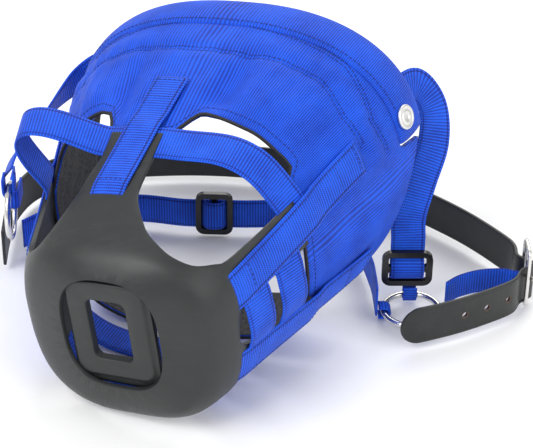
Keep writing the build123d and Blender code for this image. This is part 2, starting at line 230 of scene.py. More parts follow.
def weave(name, dark, bright, rib, thread, strength, roughness=0.6, edge=None):
    """Woven nylon, with UVs in millimetres, u across and v along.

    Webbing is ribbed across. Its edge is how far from its middle the stitching runs.
    """
    rib_part, knit_part, rib_shade_tone, blotch_tone, stitch_tone = 0.55, 0.45, 0.26, 0.36, 0.22
    m = Nodes(name, bright, roughness, Sheen_Weight=0.05, Sheen_Roughness=0.4)
    m.shader.inputs["Specular IOR Level"].default_value = 0.3
    parts = m.add("ShaderNodeSeparateXYZ")
    m.link(m.uv(), parts.inputs[0])
    u, v = parts.outputs[0], parts.outputs[1]
    ribs, threads = (v, u) if edge else (u, v)
    across = m.math("SINE", m.math("MULTIPLY", ribs, 2 * pi / rib))
    along = m.math("SINE", m.math("MULTIPLY", threads, 2 * pi / thread))
    knit = m.math("MULTIPLY", across, along)
    height = m.math("ADD", m.math("MULTIPLY", across, rib_part),
                    m.math("MULTIPLY", knit, knit_part))
    blotch = m.noise(45.0)
    # painted shade and highlight: the colour follows the ribs' height, so their grooves are painted
    # darker and their crests lighter; the blotch adds random tone
    tone = m.math("ADD", m.math("MULTIPLY", height, rib_shade_tone),
                  m.math("MULTIPLY", blotch, blotch_tone))
    if edge:
        # a darker line of stitching beside each edge of the strap
        off_middle = m.math("ABSOLUTE", u)
        near = m.math("COMPARE", off_middle, edge)
        near.node.inputs[2].default_value = 0.55
        tone = m.math("SUBTRACT", tone, m.math("MULTIPLY", near, stitch_tone))
    m.put(m.ramp(tone, [(0.0, dark), (0.27, bright)]), "Base Color")
    m.bump(height, strength, 0.0004)
    return m.material


def rubber():
    """Dark moulded rubber, satin, with pale haze and fine scuffs."""
    m = Nodes("black_rubber", (0.03, 0.031, 0.033), 0.42)
    haze = m.noise(14.0, 4.0, 0.6)
    fine = m.noise(160.0, 2.0)
    streaks = m.add("ShaderNodeMapping")
    streaks.inputs["Scale"].default_value = (9.0, 60.0, 60.0)
    m.link(m.place(), streaks.inputs["Vector"])
    scuff = m.noise(4.0, 5.0, 0.7, streaks.outputs["Vector"])
    tone = m.math("ADD", m.math("MULTIPLY", haze, 0.6), m.math("MULTIPLY", scuff, 0.4))
    m.put(m.ramp(tone, [(0.35, (0.011, 0.0135, 0.014)), (0.6, (0.019, 0.022, 0.0225)),
                        (0.85, (0.05, 0.053, 0.053))]), "Base Color")
    m.put(m.span(scuff, 0.33, 0.55), "Roughness")
    m.bump(fine, 0.12, 0.0003)
    return m.material


def mesh_lining():
    """Black spacer mesh inside the shell."""
    m = Nodes("black_mesh", (0.02, 0.02, 0.022), 0.8)
    cells = m.add("ShaderNodeTexVoronoi", feature="F1")
    cells.inputs["Scale"].default_value = 420.0
    m.link(m.place(), cells.inputs["Vector"])
    m.put(m.ramp(cells.outputs["Distance"],
                 [(0.1, (0.004, 0.004, 0.005)), (0.6, (0.05, 0.05, 0.055))]), "Base Color")
    m.bump(cells.outputs["Distance"], 0.6, 0.0006)
    return m.material


def leather():
    """Black satin leather with a fine grain and slightly worn colour."""
    m = Nodes("black_leather", (0.018, 0.017, 0.017), 0.38)
    grain = m.add("ShaderNodeTexVoronoi", feature="SMOOTH_F1")
    grain.inputs["Scale"].default_value = 900.0
    m.link(m.place(), grain.inputs["Vector"])
    worn = m.noise(40.0, 5.0, 0.65)
    m.put(m.ramp(worn, [(0.35, (0.004, 0.005, 0.005)), (0.7, (0.017, 0.018, 0.018))]),
          "Base Color")
    m.put(m.span(worn, 0.3, 0.5), "Roughness")
    m.bump(grain.outputs["Distance"], 0.22, 0.0003)
    return m.material


def metal(name, color, low, high):
    """Polished metal with faint smears."""
    m = Nodes(name, color, low, 1.0)
    smear = m.noise(60.0, 3.0)
    m.put(m.ramp(smear, [(0.3, tuple(0.86 * c for c in color)), (0.7, color)]), "Base Color")
    m.put(m.span(smear, low, high), "Roughness")
    return m.material


def plain(name, color, roughness, grain, strength):
    """Thread, binding or lacquer: one colour with a fine uneven surface."""
    m = Nodes(name, color, roughness)
    fine = m.noise(grain, 3.0)
    m.put(m.ramp(fine, [(0.3, tuple(0.7 * c for c in color)), (0.7, color)]), "Base Color")
    m.bump(fine, strength, 0.0003)
    return m.material


BLUE_DARK, BLUE, BLUE_WEB = (0.001, 0.018, 0.27), (0.005, 0.10, 0.80), (0.008, 0.115, 0.85)
LOOKS = {
    "rubber": rubber(),
    "nylon": weave("blue_nylon", BLUE_DARK, BLUE, 1.9, 1.3, 0.7),
    "web": weave("blue_webbing", BLUE_DARK, BLUE_WEB, 2.1, 1.5, 0.8, edge=10.2),
    "mesh": mesh_lining(),
    "leather": leather(),
    "nickel": metal("nickel", (0.78, 0.77, 0.74), 0.14, 0.3),
    "cap": metal("rivet_nickel", (0.82, 0.82, 0.80), 0.32, 0.5),
    "lacquer": plain("black_slide", (0.012, 0.012, 0.013), 0.22, 200.0, 0.1),
    "binding": plain("black_binding", (0.012, 0.012, 0.014), 0.7, 900.0, 0.6),
    "thread": plain("blue_thread", (0.003, 0.02, 0.20), 0.6, 1500.0, 0.5),
    "tan": plain("hole_edge", (0.12, 0.065, 0.035), 0.6, 900.0, 0.4),
}


# ---------------------------------------------------------------- mesh helpers
def piece(name, verts, faces, looks, uvs=None, body="basket", node=()):
    """A named smooth mesh piece that rides on a body and stands for the given CAD nodes."""
    data = bpy.data.meshes.new(name)
    data.from_pydata([tuple(v) for v in verts], [], faces)
    for look in looks:
        data.materials.append(LOOKS[look])
    if uvs is not None:
        layer = data.uv_layers.new(name="cloth")
        for loop in data.loops:
            layer.data[loop.index].uv = uvs[loop.vertex_index]
    for polygon in data.polygons:
        polygon.use_smooth = True
    data.validate()
    obj = bpy.data.objects.new(name, data)
    bpy.context.scene.collection.objects.link(obj)
    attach(obj, body)
    if node:
        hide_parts(*node)
    return obj


def through(points, per):
    """A smooth run of points through the given ones, with per steps between each two."""
    rows = [points[0]] + list(points) + [points[-1]]
    out = []
    for i in range(1, len(rows) - 2):
        for k in range(per + (1 if i == len(rows) - 3 else 0)):
            t = k / per
            w = (-t + 2 * t**2 - t**3, 2 - 5 * t**2 + 3 * t**3, t + 4 * t**2 - 3 * t**3,
                 t**3 - t**2)
            four = rows[i - 1:i + 3]
            out.append(Vector([sum(w[j] * four[j][c] for j in range(4)) / 2
                               for c in range(len(points[0]))]))
    return out


def thicken(obj, thick, offset=-1.0, bevel=0.0, inner=0):
    """Gives a sheet its thickness in metres and rounds its edges.

    inner is the number of its inside's material, counted from its outside's.
    """
    solid = obj.modifiers.new("thick", "SOLIDIFY")
    solid.thickness = thick
    solid.offset = offset
    solid.use_even_offset = False
    solid.material_offset = inner
    if bevel:
        round_off(obj, bevel)


def round_off(obj, width):
    """Rounds an object's sharp edges by a width in metres."""
    edge = obj.modifiers.new("round", "BEVEL")
    edge.width = width
    edge.segments = 2
    edge.limit_method = "ANGLE"
    edge.angle_limit = radians(50)


def sweep(rings, close_ends=True):
    """Faces that join closed rings of as many points each, and cap the two ends."""
    count = len(rings[0])
    verts = [p for ring in rings for p in ring]
    faces = []
    for r in range(len(rings) - 1):
        for k in range(count):
            j = (k + 1) % count
            low, high = r * count, (r + 1) * count
            faces.append((low + k, low + j, high + j, high + k))
    if close_ends:
        faces.append(tuple(reversed(range(count))))
        faces.append(tuple(range((len(rings) - 1) * count, len(rings) * count)))
    return verts, faces


def strap_section(width):
    """A strap's section: (millimetres across, part of half its thickness), with rounded edges."""
    half = width / 2
    top = [(half, 0.35), (half - 0.5, 1), (half / 2, 1), (0, 1), (-half / 2, 1), (-half + 0.5, 1),
           (-half, 0.35)]
    return [(-a, -b) for a, b in top] + top


def strap(name, points, sides, width, thick, look="web", rides="basket",
          node=()):
    """Flat webbing along points in metres, with softly rounded edges. Sizes are millimetres."""
    half_t = thick / 2
    section = strap_section(width)
    rings, uvs, travelled = [], [], 0.0
    for i, p in enumerate(points):
        along = (points[min(i + 1, len(points) - 1)] - points[max(i - 1, 0)]).normalized()
        side = sides[i] - along * sides[i].dot(along)
        side.normalize()
        up = side.cross(along)
        if i:
            travelled += (p - points[i - 1]).length / MM
        rings.append([p + side * (a * MM) + up * (b * half_t * MM) for a, b in section])
        uvs += [(a, travelled) for a, _ in section]
    verts, faces = sweep(rings)
    return piece(name, verts, faces, [look], uvs, rides, node)


def stitches(name, runs, look="thread", pitch=3.6, long=2.5, radius=0.34):
    """Rows of raised stitches. Each run is a list of (point, normal) in metres."""
    first_at, thin_end, flatness, corners = 0.8, 0.45, 1.25, 6
    verts, faces = [], []
    for run in runs:
        lengths = [0.0]
        for (a, _), (b, _) in zip(run, run[1:]):
            lengths.append(lengths[-1] + (b - a).length / MM)
        at = first_at
        while at + long < lengths[-1]:
            ends = []
            for where in (at, at + long / 2, at + long):
                i = next(k for k in range(len(lengths) - 1) if lengths[k + 1] >= where)
                t = (where - lengths[i]) / max(lengths[i + 1] - lengths[i], 1e-9)
                ends.append((run[i][0].lerp(run[i + 1][0], t), run[i][1]))
            along = (ends[2][0] - ends[0][0]).normalized()
            side = along.cross(ends[1][1]).normalized()
            rings = []
            for (p, n), size in zip(ends, (thin_end, 1.0, thin_end)):
                ring = []
                for k in range(corners):
                    a = 2 * pi * k / corners
                    ring.append(p + (side * cos(a) * flatness + n * sin(a)) * (radius * size * MM))
                rings.append(ring)
            v, f = sweep(rings)
            base = len(verts)
            verts += v
            faces += [tuple(q + base for q in face) for face in f]
            at += pitch
    return piece(name, verts, faces, [look])


def on_basket(points, off, cloth=False):
    """(point, normal) in metres for a list of (angle, s), raised by off millimetres."""
    out = []
    for angle, s in points:
        lift = off + (shell_off(angle, s) if cloth else 0.0)
        point = around(angle, s) + outward(angle, s) * lift
        out.append((to_room(point), room_normal(angle, s)))
    return out


# ---------------------------------------------------------------- moulded dish
DEGREE = 1.5    # millimetres that a degree is worth where the sheets are laid flat


def dish_outline():
    """The dish laid flat as one loop of (angle, s): the plate's foot, then the five arms' edges."""
    chin = [(124.5, ARM_END), (124, 60), (124, 40), (127, 27), (134, 20), (146, 17), (158, 17),
            (170, 13), (180, 12)]
    chin_left = [(-180, 12), (-170, 13), (-158, 17), (-146, 17), (-134, 20), (-130, 27), (-128, 40),
                 (-128, 60), (-128.5, ARM_END)]
    gap = [(87, 70), (87, 52), (88, 42), (91, 35), (95, 33), (98, 35), (101, 42), (103, 52),
           (105, 70)]
    gap_right = [(105.5, ARM_END)] + gap[::-1] + [(87, ARM_END)]
    gap_left = [(-91, ARM_END)] + [(-a - 4, s) for a, s in gap] + [(-109.5, ARM_END)]
    nostril_right = [(65.2, ARM_END), (63.5, 70), (61, 44), (55, 33), (45, 23), (30, 21), (16, 28),
                     (9, 39), (3, 54), (1.5, 70), (0.9, ARM_END)]
    nostril_left = [(-17.4, ARM_END), (-18, 86), (-21, 70), (-24, 54), (-29, 39), (-35, 28),
                    (-46, 22), (-58, 26), (-65, 38), (-68, 50), (-70, 70), (-71.2, ARM_END)]
    loop = [(-180 + 4 * k, 1.0) for k in range(91)]
    loop += [(180, 6.5)] + [tuple(p) for p in through(chin[::-1], 5)]
    for edge in (gap_right, nostril_right, nostril_left, gap_left):
        loop += [tuple(p) for p in through(edge, 5)]
    loop += [tuple(p) for p in through(chin_left[::-1], 5)]
    loop += [(-180, 6.5)]
    return loop


def inside(loop, x, y):
    """True if the point is inside the closed outline."""
    hit = False
    for (x0, y0), (x1, y1) in zip(loop, loop[1:] + loop[:1]):
        if (y0 > y) != (y1 > y) and x < (x1 - x0) * (y - y0) / (y1 - y0) + x0:
            hit = not hit
    return hit


def flat_sheet(loop, inner):
    """Triangles of an outline and the points inside it, by constrained triangulation."""
    flat = [Vector((a * DEGREE, s)) for a, s in loop]
    edges = [(k, (k + 1) % len(flat)) for k in range(len(flat))]
    flat += [Vector((a * DEGREE, s)) for a, s in inner]
    verts, _, faces, *_ = delaunay_2d_cdt(flat, edges, [], 0, 1e-5)
    outline = [(a * DEGREE, s) for a, s in loop]
    kept = []
    for face in faces:
        middle = sum((verts[k] for k in face), Vector((0, 0))) / len(face)
        if inside(outline, middle.x, middle.y):
            kept.append(tuple(face))
    return [(v.x / DEGREE, v.y) for v in verts], kept


def near_edge(loop, a, s, gap):
    """True if a point lies within a gap in millimetres of one of the outline's points."""
    return any(abs(a - x) * DEGREE < gap and abs(s - y) < gap for x, y in loop)


def make_dish():
    """The cup and its five arms, as a sheet on the basket's surface, denser round the rim."""
    loop = dish_outline()
    columns, clear = 120, 1.9
    rows = [2.2, 3.6, 5.2, 7.0, 9.0, 11.5, 14.5] + [18 + 4.2 * k for k in range(21)]
    inner = []
    for r, s in enumerate(rows):
        for k in range(columns):
            a = -178.5 + 3 * k + (1.5 if r % 2 else 0)
            if a < 179 and inside(loop, a, s) and not near_edge(loop, a, s, clear):
                inner.append((a, s))
    points, faces = flat_sheet(loop, inner)
    verts = [to_room(around(a, s)) for a, s in points]
    # turned, because the angle runs clockwise seen from the window and the outside has to face out
    obj = piece("dish", verts, [f[::-1] for f in faces], ["rubber"], None, "basket",
                ("base_dish",))
    weld = obj.modifiers.new("seam", "WELD")
    weld.merge_threshold = 0.0004
    return obj


def rounded(width, height, radius, s):
    """A rounded rectangle across the basket's axis, as basket points from the top right corner."""
    per, out = 8, []
    for k, (sx, sn) in enumerate(((1, 1), (-1, 1), (-1, -1), (1, -1))):
        cx, cn = sx * (width / 2 - radius), sn * (height / 2 - radius)
        for j in range(per + 1):
            a = pi / 2 * (k + j / per)
            out.append(Vector((cx + radius * cos(a), s, cn + radius * sin(a))))
    return out


def make_plate():
    """The dish's front: window wall, raised frame, rounded shoulder and the plate round it."""
    width, height, corner = 28.5, 46.0, 5.0
    boss_w, boss_h = 57.0, 73.0
    wall_s, back_s, under_s = 6.4, 8.2, 6.0
    rings = [
        rounded(width, height, corner, wall_s),
        rounded(width, height, corner, 1.0),
        rounded(width + 0.6, height + 0.6, corner + 0.3, 0.3),
        rounded(width + 1.8, height + 1.8, corner + 0.9, 0.0),
        rounded(boss_w - 16, boss_h - 16, 6.0, 0.0),
        rounded(boss_w - 4, boss_h - 4, 8.0, 0.0),
        rounded(boss_w - 1.4, boss_h - 1.4, 8.8, 0.25),
        rounded(boss_w, boss_h, 9.0, 1.2),
    ]
    # out to the dish's first section, and back under the plate to the window's wall
    plate = []
    for p in rings[-1]:
        on_dish = around(atan2(p.x - STATIONS[0][1], p.z) * 180 / pi, 2.4)
        plate.append(Vector((on_dish.x, 2.7, on_dish.z)))
    rings.append([p.lerp(q, 0.35) + Vector((0, 0.5, 0)) for p, q in zip(rings[-1], plate)])
    rings.append([p.lerp(q, 0.7) + Vector((0, 0.3, 0)) for p, q in zip(rings[-2], plate)])
    rings.append(plate)
    rings.append([Vector((q.x, under_s, q.z)) for q in plate])
    rings.append(rounded(boss_w - 2, boss_h - 2, 8.0, back_s))
    rings.append(rounded(width, height, corner, wall_s))
    verts, faces = sweep([[to_room(p) for p in ring] for ring in rings], False)
    piece("dish_window_frame", verts, [f[::-1] for f in faces], ["rubber"])


thicken(make_dish(), DISH_T * MM, bevel=0.0011)
make_plate()


# ---------------------------------------------------------------- padded shell
FRONT = [(-180, 105), (-76, 105), (-73, 112), (-68, 121), (-46, 125), (-30, 127), (-23.5, 124),
         (-20, 108), (-17, 105), (0, 105), (3, 108), (5, 119), (9, 126), (28, 124), (48, 121),
         (54, 120), (59, 109), (63, 105), (180, 105)]
PROFILE = [(229, 36.6), (219, 20), (206, 0), (182, -40), (156, -76), (150, -90), (149, -200)]
TAB_FROM, TAB_STEP = 36.6, 4.0


def front_edge(angle):
    """Where the shell starts at an angle, eased between the rows of its outline."""
    for (a, s), (b, t) in zip(FRONT, FRONT[1:]):
        if a <= angle <= b:
            w = (angle - a) / (b - a)
            w = w * w * (3 - 2 * w)
            return s + (t - s) * w
    return SHELL_FROM


def rear_edge(angle):
    """Where the shell ends at an angle: at the nose band, or on the profile below its ends."""
    s = SHELL_TO
    if around(angle, s).z > TAB_FROM + TAB_STEP:
        return s
    for _ in range(14):
        n = around(angle, min(s, 234)).z
        goal = PROFILE[0][0]
        for (a, na), (b, nb) in zip(PROFILE, PROFILE[1:]):
            if nb <= n <= na:
                goal = a + (b - a) * (na - n) / (na - nb)
        s = (s + goal) / 2
    n = around(angle, min(s, 234)).z
    if n > TAB_FROM:
        w = (n - TAB_FROM) / TAB_STEP
        return SHELL_TO + (s - SHELL_TO) * (1 - w)
    return s


def bell(x, width):
    """1 at x = 0, falling smoothly to nothing on both sides."""
    return exp(-(x / width) ** 2)


def line_s(rows, angle):
    """s of a line across the basket, given as (angle, s) rows, or None beyond its ends."""
    if not rows[0][0] <= angle <= rows[-1][0]:
        return None
    for (a, s), (b, t) in zip(rows, rows[1:]):
        if a <= angle <= b:
            return s + (t - s) * (angle - a) / (b - a)


COLLAR_SEAM = [(-82, 189), (-67, 186), (-44, 201), (-17, 205), (-1, 207), (17, 204), (44, 201),
               (67, 186), (82, 189)]
SECOND_SEAM = [(-74, 171), (-57, 170), (-40, 178), (-21, 181), (0, 178), (21, 180), (40, 179),
               (57, 170), (74, 171)]


def shell_relief(angle, s):
    """How far the padded cloth stands off its plain surface, in millimetres."""
    off = 0.0
    for seam in (COLLAR_SEAM, SECOND_SEAM):
        at = line_s(seam, angle)
        if at is not None:
            off -= 1.3 * bell(s - at, 2.6)
            off += 0.9 * bell(s - at - 9, 6) + 0.9 * bell(s - at + 9, 6)
    # valley folds beside the nose strap, and soft puckers behind the cut-outs
    for middle, deep in ((11, 7.5), (-20, 7.0)):
        fold = bell((angle - middle - (s - 150) * 0.05) * 1.7, 7)
        off -= deep * fold * bell(s - 142, 32)
    off += 3.5 * bell((angle - 34) * 1.7, 26) * bell(s - 152, 20)
    off += 4.0 * bell((angle + 38) * 1.7, 20) * bell(s - 148, 24)
    off += 0.8 * sin(angle * 0.31 + s * 0.045) * bell(s - 150, 45)
    off += 0.45 * sin(angle * 0.83 - s * 0.11 + 1.7)
    return off


def shell_off(angle, s):
    """Where the cloth's outside lies, in millimetres off the basket's surface."""
    low, high = front_edge(angle), rear_edge(angle)
    t = (s - low) / (high - low)
    return shell_relief(angle, s) * min(1.0, t * 6, (1 - t) * 6) - 0.2


def make_shell():
    """The padded nylon, as a sheet from its front edge to its rear, lined with mesh."""
    columns, rows, around_mm = 180, 34, 1.95
    verts, uvs, faces = [], [], []
    for angle in range(-180, 181, 2):
        low, high = front_edge(angle), rear_edge(angle)
        for r in range(rows + 1):
            t = r / rows
            s = low + (high - low) * t
            n = outward(angle, min(s, 233))
            p = around(angle, s) + n * shell_off(angle, s)
            verts.append(to_room(p))
            uvs.append((angle * around_mm, s))
    tall = rows + 1
    for c in range(columns):
        for r in range(rows):
            here, beyond = c * tall + r, (c + 1) * tall + r
            faces.append((here, beyond, beyond + 1, here + 1))
    obj = piece("shell_cloth", verts, faces, ["nylon", "mesh", "binding"], uvs, "basket",
                ("shell",))
    weld = obj.modifiers.new("seam", "WELD")
    weld.merge_threshold = 0.0003
    thicken(obj, CLOTH_T * MM, inner=1)


def tube(name, line, radius, look, rides, node=(), closed=False, corners=12, level=(1, 0, 0)):
    """Round wire or binding along points in metres. The line never runs along level."""
    rings = []
    count = len(line)
    for i, p in enumerate(line):
        before = line[(i - 1) % count] if closed else line[max(i - 1, 0)]
        after = line[(i + 1) % count] if closed else line[min(i + 1, count - 1)]
        along = (after - before).normalized()
        side = along.cross(Vector(level)).normalized()
        up = side.cross(along)
        turns = [2 * pi * k / corners for k in range(corners)]
        rings.append([p + (side * cos(a) + up * sin(a)) * (radius * MM) for a in turns])
    verts, faces = sweep(rings + ([rings[0]] if closed else []), not closed)
    return piece(name, verts, faces, [look], None, rides, node)


make_shell()
front_binding = [to_room(around(a, front_edge(a) + 0.2, -1.2)) for a in range(-180, 181, 2)]
tube("shell_front_binding", front_binding, 1.25, "binding", "basket", corners=8,
     level=(0, 0, 1))
# the rear line is turned so that it starts and ends beside the nose band, not at the chin
rear_line = [to_room(around(a, min(rear_edge(a), 234), -1.6)) for a in range(-180, 181, 2)
             if around(a, rear_edge(a)).z < TAB_FROM - 1]
rear_line = rear_line[len(rear_line) // 2:] + rear_line[:len(rear_line) // 2]
tube("shell_rear_binding", rear_line, 1.3, "binding", "basket", corners=8,
     level=(0, 0, 1))

SEAM_RAISED = 0.15
seam_runs = []
for seam in (COLLAR_SEAM, SECOND_SEAM):
    for shift in (-1.6, 1.6):
        angles = range(seam[0][0], seam[-1][0] + 1, 2)
        line = [(a, line_s(seam, a) + shift) for a in angles]
        seam_runs.append(on_basket(line, SEAM_RAISED, True))
front_line = [(a, front_edge(a) + 6.0) for a in range(-178, 179, 2)]
seam_runs.append(on_basket(front_line, SEAM_RAISED, True))
stitches("shell_seams", seam_runs)


# ---------------------------------------------------------------- padded nose band
def make_band():
    """The padded collar: one plump section carried over the nose from end to end."""
    angles = [a for a in range(-84, 85, 2) if around(a, 219).z > 37.5]
    corners, swell = 28, 3.1
    rings, uvs = [], []
    mid_s, half_s = (BAND_FROM + BAND_TO) / 2, (BAND_TO - BAND_FROM) / 2 - 0.2
    for angle in angles:
        ring = []
        for k in range(corners):
            a = 2 * pi * k / corners
            c, d = cos(a), sin(a)
            ds = half_s * abs(c) ** 0.55 * (1 if c > 0 else -1)
            lift = swell * abs(d) ** 0.6 * (1 if d > 0 else -1)
            puff = 0.9 * (1 - (ds / half_s) ** 2) * (1 if d > 0 else -0.5)
            s = mid_s + ds
            n = outward(angle, min(s, 233))
            p = around(angle, min(s, LAST_S)) + n * ((BAND_OUT + BAND_IN) / 2 + lift + puff)
            ring.append(to_room(p + Vector((0, s - min(s, LAST_S), 0))))
            uvs.append((angle * 2.1, s))
        rings.append(ring)
    verts, faces = sweep(rings)
    obj = piece("nose_band_pad", verts, faces, ["nylon"], uvs, "basket",
                ("nose_band",))


make_band()
stitches("nose_band_seams", [on_basket([(a, 207.0) for a in range(-74, 73, 2)], 2.0)])

# ---------------------------------------------------------------- long straps on the basket
# (angle, s) of the start and end, and the s where the strap leaves the dish's arm
LONG_STRAPS = {
    "strap_nose": ((-8.5, 46), (-3.3, 149), 118),
    "strap_cheek_right": ((78.4, 29), (74.2, 164), 122),
    "strap_cheek_left": ((-83.0, 29), (-79.0, 164), 122),
    "strap_jaw_right": ((111.5, 27), (117.0, 168), 118),
    "strap_jaw_left": ((-117.5, 27), (-122.0, 168), 118),
}


def ease(x):
    """0 up to x = 0, 1 from x = 1, and smooth between."""
    x = min(max(x, 0.0), 1.0)
    return x * x * (3 - 2 * x)


def beside(angle, s, across):
    """The angle that lies so many millimetres beside another on the basket's surface."""
    step = 0.5 if across > 0 else -0.5
    gone = 0.0
    while gone < abs(across):
        stride = (around(angle + step, s) - around(angle, s)).length
        if gone + stride > abs(across):
            return angle + step * (abs(across) - gone) / stride
        angle += step
        gone += stride
    return angle


def lying_strap(name, start, end, seat_from):
    """Webbing that lies over the dish's arm and the shell, bent across to their surface."""
    count, travelled, before, stitch_a = 44, 0.0, None, 9.9
    section, rings, uvs, rows = strap_section(WEB_W), [], [], [[], []]
    for i in range(count + 1):
        t = i / count
        angle = start[0] + (end[0] - start[0]) * t
        s = start[1] + (end[1] - start[1]) * t
        off = 1.9 + 2.4 * ease((s - start[1] - 3) / 14) * (1 - ease((s - seat_from + 10) / 14))
        acrosses = {a for a, _ in section} | {-stitch_a, stitch_a}
        spots = {a: beside(angle, s, a) for a in sorted(acrosses)}
        ring = []
        for a, b in section:
            ring.append(to_room(around(spots[a], s)) + room_normal(spots[a], s)
                        * ((off + b * WEB_T / 2) * MM))
        middle = to_room(around(angle, s))
        travelled += (middle - before).length / MM if before is not None else 0.0
        before = middle
        rings.append(ring)
        uvs += [(a, travelled) for a, _ in section]
        for row, a in zip(rows, (-stitch_a, stitch_a)):
            normal = room_normal(spots[a], s)
            row.append((to_room(around(spots[a], s)) + normal * ((off + 0.85) * MM), normal))
    verts, faces = sweep(rings)
    piece(name + "_web", verts, faces, ["web"], uvs, "basket", (name,))
    tacks = []
    for low, high in ((2, 8), (count - 7, count - 1)):
        for k in (low, high):
            a, b = rows[0][k], rows[1][k]
            angle = start[0] + (end[0] - start[0]) * k / count
            s = start[1] + (end[1] - start[1]) * k / count
            normal = room_normal(angle, s)
            height = (a[0] - to_room(around(beside(angle, s, -stitch_a), s))).length
            tacks.append([a, (to_room(around(angle, s)) + normal * height, normal), b])
    stitches(name + "_stitching", rows + tacks)


for name, (start, end, seat_from) in LONG_STRAPS.items():
    lying_strap(name, start, end, seat_from)


# ---------------------------------------------------------------- cross bands
SLACK_SPOTS = [(95.5, 5.5, 9.0), (-99.5, 5.5, 9.0), (260.5, 5.5, 9.0), (148, 1.0, 16.0),
               (206, 1.0, 16.0)]     # angle, millimetres and half spread of each wave in the bands


def hoop(name, first, last, s_first, s_last, bulge, steps):
    """A band of webbing across the basket between two angles, slack by bulge in its middle."""
    line, sides = [], []
    for i in range(steps + 1):
        t = i / steps
        angle = first + (last - first) * t
        s = s_first + (s_last - s_first) * t
        slack = bulge * sin(pi * min(max((t - 0.14) / 0.72, 0), 1)) ** 2
        if not bulge:
            slack += sum(high * bell(angle - spot, spread) for spot, high, spread in SLACK_SPOTS)
        n = outward(angle, s)
        line.append(to_room(around(angle, s) + n * (1.6 + slack)))
        sides.append(room_direction(around(angle, s + 6) - around(angle, s - 6)))
    strap(name + "_web", line, sides, WEB_W, WEB_T, node=(name,))


hoop("upper_band_nose_right", -5.5, 73.5, 98, 103, 9, 40)
hoop("upper_band_nose_left", -6.8, -79, 98, 100, 40, 48)
hoop("upper_band_jaw", 76, 281, 84, 84, 0, 96)
hoop("lower_band", 70, 285, 53, 53, 0, 96)


# ---------------------------------------------------------------- rivets
def lathe(name, profile, origin, direction, look, node=()):
    """A turned piece: (radius, height) rows in millimetres about a direction from an origin."""
    count = 40
    z = direction.normalized()
    x = z.orthogonal().normalized()
    y = z.cross(x)
    rings = []
    for radius, height in profile:
        ring = []
        for k in range(count):
            a = 2 * pi * k / count
            ring.append(origin + (x * cos(a) + y * sin(a)) * (radius * MM) + z * (height * MM))
        rings.append(ring)
    verts, faces = sweep(rings)
    return piece(name, verts, faces, [look], None, "basket", node)


CAP = [(2.0, -11.6), (2.0, 1.9), (8.4, 1.9), (8.8, 2.4), (8.8, 3.3), (8.4, 3.8), (7.6, 4.1),
       (7.1, 4.0), (6.7, 3.65), (5.4, 3.6), (5.0, 3.75), (4.6, 4.1), (3.6, 4.2), (3.2, 4.0),
       (2.9, 3.5), (1.0, 3.3), (0.1, 3.3)]
WASHER = [(2.1, -11.8), (6.6, -11.8), (7.0, -11.5), (7.0, -10.6), (6.6, -10.2), (2.1, -10.2)]
for side, (angle, s) in RIVETS.items():
    direction = room_direction(outward(angle, s))
    seat = to_room(around(angle, s))
    lathe("rivet_cap_" + side, CAP, seat, direction, "cap", ("rivet_" + side,))
    lathe("rivet_washer_" + side, WASHER, seat, direction, "cap")


# ---------------------------------------------------------------- cheek straps
def from_room(p):
    """Frame metres back to headstall millimetres."""
    return tuple(p / MM - SHIFT)


def carried(points, first, last):
    """Widths for a strap: first carried along the line, then twisted gently to lie along last."""
    ends = len(points) - 1
    runs = [(points[min(i + 1, ends)] - points[max(i - 1, 0)]).normalized()
            for i in range(ends + 1)]
    side, sides = first, []
    for run in runs:
        side = (side - run * side.dot(run)).normalized()
        sides.append(side)
    goal = (last - runs[-1] * last.dot(runs[-1])).normalized()
    if goal.dot(side) < 0:
        goal = goal * -1
    twist = atan2(side.cross(goal).dot(runs[-1]), side.dot(goal))
    out = []
    for i, (side, run) in enumerate(zip(sides, runs)):
        w = twist * ease((i / ends - 0.35) / 0.4)
        out.append(side * cos(w) + run.cross(side) * sin(w))
    return out


def cheek_strap(side, after, last):
    """From inside the nose band at the rivet, over its rear edge and on through the points."""
    angle, s = RIVETS[side]
    n = outward(angle, s)
    turn = -4 if side == "right" else 4
    lead = [around(angle, s - 13) + n * STRAP_IN, around(angle, s) + n * STRAP_IN,
            around(angle + turn, 236) + n * STRAP_IN]
    points = [from_room(to_room(p)) for p in lead] + after
    line = [floor_mm(p) for p in through(points, 12)]
    across = (to_room(around(angle - 8, s)) - to_room(around(angle + 8, s))).normalized()
    name = "cheek_strap_" + side
    strap(name + "_web", line, carried(line, across, last), WEB_W, WEB_T, node=(name,))


RIGHT_ROUTE = [(127, -4, 158), (138, -7, 142), (138, -21, 121), (129, -33, 97), (122, -39, 72),
               (122, -41.0, 52), (122, -41.4, 34), (122, -41.4, 16)]
LEFT_ROUTE = [(-104, 91, 124), (-128, 82, 113), (-152, 50, 98), (-167, 21, 88), (-172, 8, 79)]
cheek_strap("right", RIGHT_ROUTE, Vector((-1, 0, 0)))
cheek_strap("left", LEFT_ROUTE, Vector((0, 1, 0)))


# ---------------------------------------------------------------- webbing on the rings
def loop_path(wire, out, down, length, roomy):
    """A U of webbing about a ring's wire, in headstall millimetres."""
    w, o, d = Vector(wire), Vector(out).normalized(), Vector(down).normalized()
    r = RING_WIRE + 0.9 + WEB_T / 2
    points = [tuple(w - o * r + d * -length)]
    for k in range(13):
        a = pi * k / 12
        points.append(tuple(w - o * (r * cos(a)) + d * ((r + roomy) * sin(a))))
    points.append(tuple(w + o * r + d * -length))
    return points


